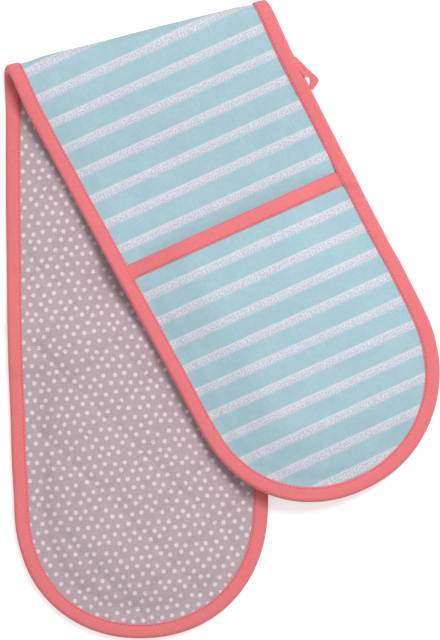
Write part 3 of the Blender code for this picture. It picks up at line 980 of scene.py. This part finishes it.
def outline_stations():
    """Stations all round the strip: from the upper tip down the left side and up the right one.

    A station at an end has a 1, its half, its turn and a 0. One at a side has a 0, its side, and
    the middle place and slant of its line.
    """
    turns = np.linspace(0, math.pi / 2, TAPE_END_STATIONS + 1)
    bend = [fold_row(turn) for turn in np.linspace(1, -1, BEND_ROWS + 1) * math.pi / 2]
    lower, upper = ((half * (REACH[half] - END_LENGTH), 0.0) for half in (-1, 1))
    lines = rows_between(upper, bend[0], TAPE_ROWS[1]) + bend[1:]
    lines += rows_between(bend[-1], lower, TAPE_ROWS[-1])

    def at_end(half, stops):
        return [(1, half, turn, 0) for turn in stops]

    def at_side(side, stops):
        return [(0, side, *line) for line in stops]

    left = at_end(1, -turns) + at_side(-1, lines) + at_end(-1, -turns[::-1][1:])
    right = at_end(-1, turns[1:]) + at_side(1, lines[::-1][1:]) + at_end(1, turns[::-1][:-1])
    return np.array(left + right)


STATIONS = outline_stations()
COUNT = np.arange(len(STATIONS))


def station_places(insets):
    """Places along and across for an array of insets: one row a station, any columns."""
    at_end, way, first, slant = (column[:, None] for column in STATIONS.T)
    turn = np.where(at_end, first, 0)
    ahead = (END_LENGTH - insets) * np.abs(np.cos(turn)) ** (2 / END_FULLNESS)
    aside = (SHOULDER_WIDTH / 2 - insets) * np.abs(np.sin(turn)) ** (2 / END_FULLNESS)
    reach = of_half(way, REACH[-1], REACH[1])
    along, across = meet(first, slant, way, insets)
    along = np.where(at_end, way * (reach - END_LENGTH + ahead), along)
    return along, np.where(at_end, np.sign(turn) * aside, across)


def edge_tape_faces(along, across, insets):
    """The levels of the edge binding's two faces."""
    rim_along, rim_across = station_places(np.zeros((len(STATIONS), 1)))
    climb = rise(mouth_distance(rim_along, rim_across), RIM_CLIMB_START, RIM_CLIMB)
    rim = mix(STRIP_REST, stack_height(rim_along, rim_across, 1), climb)
    share = rise(insets, BINDING_ROUND, SPREAD_LENGTH)
    high = mix(rim, over_layers(along, across), share)
    low = mix(-STRIP_REST, -(dotted_face(edge_distance(along, across)) + TAPE_STEP), share)
    lap = smooth((LAP_PLACE - along) / LAP_EDGE) * rise(along, LAP_FADE_START, LAP_FADE)
    return low, high + LAP_HEIGHT * lap * (across > 0)


def edge_binding():
    wander = WANDER * noise(COUNT / WANDER_LENGTH, seed=31)[:, None]
    insets, inner_insets = (
        line + wander * rise(line, BINDING_ROUND, WANDER_START) for line in tape_insets(SEEN_WIDTH)
    )
    places = station_places(insets)
    heights, inner_heights = tape_heights(*edge_tape_faces(*places, insets))
    columns = insets.shape[1]
    face = np.where(np.arange(columns) > columns // 2, 1, -1)
    near_stitch = np.exp(-(((insets - SEEN_WIDTH + GATHER_INSET) / GATHER_WIDTH) ** 2))
    gathered = BINDING_GATHER * gathers(COUNT, *BINDING_GATHERS, 33)[:, None]
    heights = heights + face * gathered * near_stitch
    outer, inner = lay(*places, heights), lay(*station_places(inner_insets), inner_heights)
    flat = flat_places(*places, heights)
    normals = grid_normals(outer, True), grid_normals(inner, True)
    side_start = TAPE_END_STATIONS + TAPE_ROWS[1]
    bends = (side_start, len(STATIONS) - side_start - BEND_ROWS)
    cuts = [start + rows for start in bends for rows in (CUT_ROWS, BEND_ROWS - CUT_ROWS)]
    last = cuts[0] + 1 + len(STATIONS)
    spans = {
        "middle_left": ("fold_binding_left", np.arange(cuts[0], cuts[1] + 1)),
        "lower": ("lower_edge_binding", np.arange(cuts[1], cuts[2] + 1)),
        "middle_right": ("fold_binding_right", np.arange(cuts[2], cuts[3] + 1)),
        "upper": ("upper_edge_binding", np.arange(cuts[3], last) % len(STATIONS)),
    }
    for word, (node, span) in spans.items():
        cut = tuple(side[span] for side in normals)
        piece = shell(f"edge_binding_{word}", outer[span], inner[span], flat[span], CORAL_TAPE, cut)
        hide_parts(node)
        bend_over(piece, word.split("_")[0])


def mouth_places(half, shares, past):
    """Places on lines past a pocket's mouth: one row a share of the width, and a column a line."""
    middle = half * (REACH[half] - POCKET_DEPTH + past)
    return meet(middle, math.tan(MOUTH_SKEW), shares[:, None], LAYER_INSET)


def mouth_binding(half):
    """The tape round a pocket's mouth."""
    shares = np.linspace(-1, 1, MOUTH_COLUMNS + 1)
    insets, inner_insets = tape_insets(MOUTH_BAND)
    places = mouth_places(half, shares, insets)
    heights, inner_heights = tape_heights(
        lining_face(*places) - TAPE_STEP, front_face(*places) + TAPE_STEP
    )
    outer, inner = lay(*places, heights), lay(*mouth_places(half, shares, inner_insets), inner_heights)
    word = HALVES[half]
    piece = shell(f"mouth_binding_{word}", outer, inner, flat_places(*places, heights), CORAL_TAPE)
    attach(piece, f"{word}_half")
    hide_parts(f"{word}_mouth_binding")


# Stitches: the rings of one thread, with their share of its width and their place on its length
STITCH_SIDES = 6
STITCH_RINGS = ((0.5, -0.85), (0.9, -0.4), (0.9, 0.4), (0.5, 0.85))
SEAM_PITCH, SEAM_SHARE, SEAM_WIDTH, SEAM_SUNK = 0.0027, 0.74, 0.00050, 0.00014
QUILT_PITCH, QUILT_SHARE, QUILT_WIDTH, QUILT_SUNK = 0.0030, 0.62, 0.00042, 0.00010
STITCH_INSET = 0.0012
STITCH_UP = 0.0006
MOUTH_SEAM_SHARE = 0.885
MOUTH_SEAM_POINTS = 160
QUILT_REACH, QUILT_STEP, QUILT_CLEAR = 0.6, 0.0015, 0.0008
QUILT_FEWEST = 8


def stitches(name, starts, ends, ups, width, material, segment):
    """Short raised threads between starts and ends, as one mesh."""
    ahead = (ends - starts) / 2
    unit = ahead / np.linalg.norm(ahead, axis=1, keepdims=True)
    beside = np.cross(ups, unit)
    beside /= np.linalg.norm(beside, axis=1, keepdims=True)
    ups = np.cross(unit, beside)
    middle = (starts + ends) / 2
    points = [starts]
    for share, place in STITCH_RINGS:
        for turn in np.arange(STITCH_SIDES) * 2 * math.pi / STITCH_SIDES:
            around = beside * math.cos(turn) + ups * math.sin(turn)
            points.append(middle + ahead * place + around * width / 2 * share)
    points = np.stack(points + [ends], 1)
    per = points.shape[1]
    quads = ring_quads(len(STITCH_RINGS), STITCH_SIDES) + 1
    side = np.arange(STITCH_SIDES)
    after = (side + 1) % STITCH_SIDES
    first_cap = np.stack([0 * side, 1 + after, 1 + side], 1)
    last_ring = per - 1 - STITCH_SIDES
    last_cap = np.stack([0 * side + per - 1, last_ring + side, last_ring + after], 1)
    every = []
    for offset in np.arange(len(points)) * per:
        for faces in (first_cap, last_cap, quads):
            every += (faces + offset).tolist()
    points = points.reshape(-1, 3)
    bend_over(add_piece(name, points, every, points, material), segment)


def stitch_run(along, across, heights, pitch, share):
    """The starts and ends of stitches along a line, as rows of places and heights."""
    points = lay(along, across, heights)
    gone = np.concatenate([[0], np.cumsum(np.linalg.norm(np.diff(points, axis=0), axis=1))])
    begin = (np.arange(int(gone[-1] / pitch)) + 0.5 * (1 - share)) * pitch
    return [
        np.stack([np.interp(at, gone, line) for line in (along, across, heights)], 1)
        for at in (begin, begin + pitch * share)
    ]


def sewn(name, runs, face_up, width, material):
    """Stitches for every run, one piece for each segment of the strip."""
    starts, ends = (np.concatenate(side) for side in zip(*runs))
    middle = (starts + ends) / 2
    turn = to_fold(middle[:, 0], middle[:, 1])[0] / FOLD_RADIUS
    segment = 1 + (turn > CUT_TURN) - (turn < -CUT_TURN).astype(int)
    for number, word in enumerate(SEGMENTS):
        chosen = segment == number
        if chosen.any():
            begin, end, centre = (rows[chosen].T for rows in (starts, ends, middle))
            ups = lay(centre[0], centre[1], centre[2] + STITCH_UP * face_up) - lay(*centre)
            stitches(f"{name}_{word}", lay(*begin), lay(*end), ups, width, material, word)


def seam(name, along, across, level, way):
    """A row of coral stitches, sunk a little into the tape."""
    run = stitch_run(along[:, 0], across[:, 0], level[:, 0] - way * SEAM_SUNK, SEAM_PITCH, SEAM_SHARE)
    sewn(name, [run], way, SEAM_WIDTH, CORAL_YARN)


def binding_stitches():
    """The row of stitches just inside the binding's inner edge, on both sides."""
    insets = np.full((len(STATIONS), 1), SEEN_WIDTH - STITCH_INSET)
    places = station_places(insets)
    low, high = edge_tape_faces(*places, insets)
    seam("binding_stitches_striped_side", *places, high, 1)
    seam("binding_stitches_dotted_side", *places, low, -1)


def mouth_stitches():
    shares = np.linspace(-MOUTH_SEAM_SHARE, MOUTH_SEAM_SHARE, MOUTH_SEAM_POINTS)
    for half, word in HALVES.items():
        places = mouth_places(half, shares, np.array([MOUTH_BAND - STITCH_INSET]))
        seam(f"mouth_stitches_{word}", *places, front_face(*places) + TAPE_STEP, 1)


def quilting_stitches():
    runs = []
    far = np.arange(-QUILT_REACH, QUILT_REACH, QUILT_STEP)
    for (one, two), first, spacing in QUILT_LINES:
        for number in QUILT_NUMBERS:
            reach = first + number * spacing
            along, across = reach * one - far * two, reach * two + far * one
            kept = edge_distance(along, across) > BINDING_WIDTH + QUILT_CLEAR
            kept &= np.abs(across) < STRIP_WIDTH / 2
            kept &= np.abs(along + FOLD_FROM_MIDDLE) < STRIP_LENGTH / 2
            if kept.sum() < QUILT_FEWEST:
                continue
            along, across = along[kept], across[kept]
            level = backing_level(along, across) - QUILT_SUNK
            runs.append(stitch_run(along, across, level, QUILT_PITCH, QUILT_SHARE))
    sewn("quilting_stitches", runs, -1, QUILT_WIDTH, GREY_YARN)


# Hanging loop

LOOP_SIDES = 36
LOOP_STATIONS = 61
LOOP_EASING = 5
LOOP_TOP_SHARE = 0.7
LOOP_ARCH = 0.0004
LOOP_SQUARENESS = 6
# The tape bends up or down between these distances off the edge
# Rails of the loop in millimetres: along the edge, off it and up. The tape's top face lies between
# the first two, and its inner edge rolls down to the third.
LOOP_OUTER = (
    (-1.5, -0.6, 0), (1.0, 0.4, 0), (3.6, 1.5, 0), (7.8, 2.9, 0), (11.5, 4.1, 0), (15.1, 5.4, 0),
    (17.9, 6.5, 0), (20.2, 7.2, 0), (21.8, 6.9, 0), (23.0, 5.4, 0), (24.3, 3.0, 0), (25.6, 0.0, 0),
)
LOOP_INNER = (
    (0.0, -1.6, 0), (2.5, -0.3, 0), (5.4, 0.3, 0), (9.2, 0.4, 0), (12.6, 0.7, 0), (14.6, 1.3, 0),
    (16.0, 2.5, 0), (17.1, 2.5, 0), (18.4, 2.0, 0), (20.4, 1.3, 0), (22.7, 0.6, 0), (24.5, -0.4, 0),
)
LOOP_UNDER = (
    (0.0, -2.4, -1.5), (2.5, -2.2, -2), (5.4, -2.2, -2.6), (9.2, -2.0, -3.2), (12.4, -1.8, -3.5),
    (14.2, -1.4, -3.5), (15.9, 1.2, -3.2), (17.2, 2.0, -2.4), (18.5, 1.5, -1.8), (20.5, 0.0, -1.8),
    (22.7, -1.2, -1.6), (24.4, -1.8, -1),
)


def loop_frame():
    """The loop's first sewn end, and the directions along the edge, off it and up."""
    clear = LOOP_THICKNESS / 2 + GAP
    stops = (LOOP_FROM_FOLD, LOOP_FROM_FOLD + LOOP_SPAN)
    start, end = (lay(along, half_width(along, 0) + clear, 0) for along in stops)
    along_edge = (end - start) / np.linalg.norm(end - start)
    outward = np.cross(UP, along_edge)
    outward /= np.linalg.norm(outward)
    return start, along_edge, outward, np.cross(outward, along_edge)


def eased(line):
    """A line of stations through the given ones, with its corners eased."""
    line = np.array(line, float)
    at = np.linspace(0, len(line) - 1, LOOP_STATIONS)
    line = np.stack([np.interp(at, np.arange(len(line)), side) for side in line.T], 1)
    for _ in range(LOOP_EASING):
        line[1:-1] = (line[:-2] + 2 * line[1:-1] + line[2:]) / 4
    return line[:, None, :] / 1000


def hanging_loop():
    """A narrow folded tape that rises from the edge, turns back at its tip and goes down again."""
    origin, *directions = loop_frame()
    outer, inner, under = eased(LOOP_OUTER), eased(LOOP_INNER), eased(LOOP_UNDER)
    shares = np.linspace(0, 1, LOOP_SIDES // 2)[None, :, None]
    top = np.minimum(shares / LOOP_TOP_SHARE, 1)
    rolled = rise(shares, LOOP_TOP_SHARE, 1 - LOOP_TOP_SHARE)
    middle = mix(mix(outer, inner, top), under, rolled)
    middle[..., 2] = mix(0, under[..., 2], 1 - (1 - rolled[..., 0]) ** 2)
    middle[..., 2] += LOOP_ARCH * np.sin(math.pi * top[..., 0])
    facing = np.cross(np.gradient(middle, axis=1), np.gradient(middle, axis=0))
    facing /= np.linalg.norm(facing, axis=2, keepdims=True)
    facing *= np.sign(facing[..., 2:].sum())
    thin = np.sqrt(np.maximum(1 - (2 * shares - 1) ** LOOP_SQUARENESS, 0)) * LOOP_THICKNESS / 2
    top_face, under_face = (
        origin + (middle + side * thin * facing) @ np.array(directions) for side in (1, -1)
    )
    points = np.concatenate([top_face, under_face[:, ::-1][:, 1:-1]], axis=1)
    count, around = points.shape[:2]
    points = points.reshape(-1, 3)
    quads = ring_quads(count, around)
    caps = np.stack([np.arange(around)[::-1], (count - 1) * around + np.arange(around)])
    if signed_volume(points, quads) < 0:
        quads, caps = quads[:, ::-1], caps[:, ::-1]
    piece = add_piece("hanging_loop_tape", points, quads.tolist() + caps.tolist(), points, CORAL_TAPE)
    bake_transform(piece)
    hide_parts("hanging_loop")


# Camera, light and floor

PIXEL = 0.0007
IMAGE_HEIGHT = 640
SENSOR = 36
CAMERA_HEIGHT = 6.0
CAMERA_SIGHT = 20
VIEW_LEVEL = 0.015
FLOOR_SIZE = 6
FLOOR_SHADE = (0.9, 0.9, 0.9, 1)
FLOOR_ROUGHNESS = 0.9
FLOOR_GLOW = 0.5
ROOM_LIGHT = 0.48
LAMP_PLACE = (0.5, 0.75, 1.8)
LAMP_SIZE = 0.8
LAMP_POWER = 24.5
WHITE = (1, 1, 1, 1)


def add_camera():
    data = bpy.data.cameras.new("camera")
    data.sensor_width = SENSOR
    data.lens = SENSOR * (CAMERA_HEIGHT - VIEW_LEVEL) / (IMAGE_HEIGHT * PIXEL)
    data.clip_end = CAMERA_SIGHT
    camera = bpy.data.objects.new("camera", data)
    camera.location = (-PIXEL, 0, CAMERA_HEIGHT)
    bpy.context.scene.collection.objects.link(camera)
    bpy.context.scene.camera = camera


def add_lamp():
    """A soft lamp from above the fold's right end, which gives the upper half its narrow shadow."""
    data = bpy.data.lights.new("key", "AREA")
    data.shape = "DISK"
    data.size = LAMP_SIZE
    data.energy = LAMP_POWER
    lamp = bpy.data.objects.new("key", data)
    lamp.location = LAMP_PLACE
    lamp.rotation_euler = (-Vector(LAMP_PLACE)).to_track_quat("-Z", "Y").to_euler()
    bpy.context.scene.collection.objects.link(lamp)


def add_floor():
    bpy.ops.object.select_all(action="DESELECT")
    bpy.ops.mesh.primitive_plane_add(size=FLOOR_SIZE, location=(0, 0, 0))
    floor = bpy.context.object
    floor.name = "floor"
    material = bpy.data.materials.new("pale_floor")
    material.use_nodes = True
    wiring = Wiring(material.node_tree)
    shader = material.node_tree.nodes["Principled BSDF"]
    shader.inputs["Base Color"].default_value = FLOOR_SHADE
    shader.inputs["Roughness"].default_value = FLOOR_ROUGHNESS
    shader.inputs["Emission Color"].default_value = WHITE
    seen = wiring.add("ShaderNodeLightPath").outputs["Is Camera Ray"]
    wiring.feed(shader.inputs["Emission Strength"], wiring.times(seen, FLOOR_GLOW))
    floor.data.materials.append(material)


def add_world():
    world = bpy.context.scene.world or bpy.data.worlds.new("studio")
    bpy.context.scene.world = world
    world.use_nodes = True
    background = world.node_tree.nodes["Background"]
    background.inputs["Color"].default_value = WHITE
    wiring = Wiring(world.node_tree)
    seen = wiring.add("ShaderNodeLightPath").outputs["Is Camera Ray"]
    wiring.feed(background.inputs["Strength"], wiring.math("MAXIMUM", seen, ROOM_LIGHT))


add_camera()
for half in HALVES:
    pocket_pieces(half)
    mouth_binding(half)
edge_binding()
binding_stitches()
mouth_stitches()
quilting_stitches()
hanging_loop()
add_floor()
add_world()
add_lamp()
bpy.context.scene.view_settings.view_transform = "Standard"
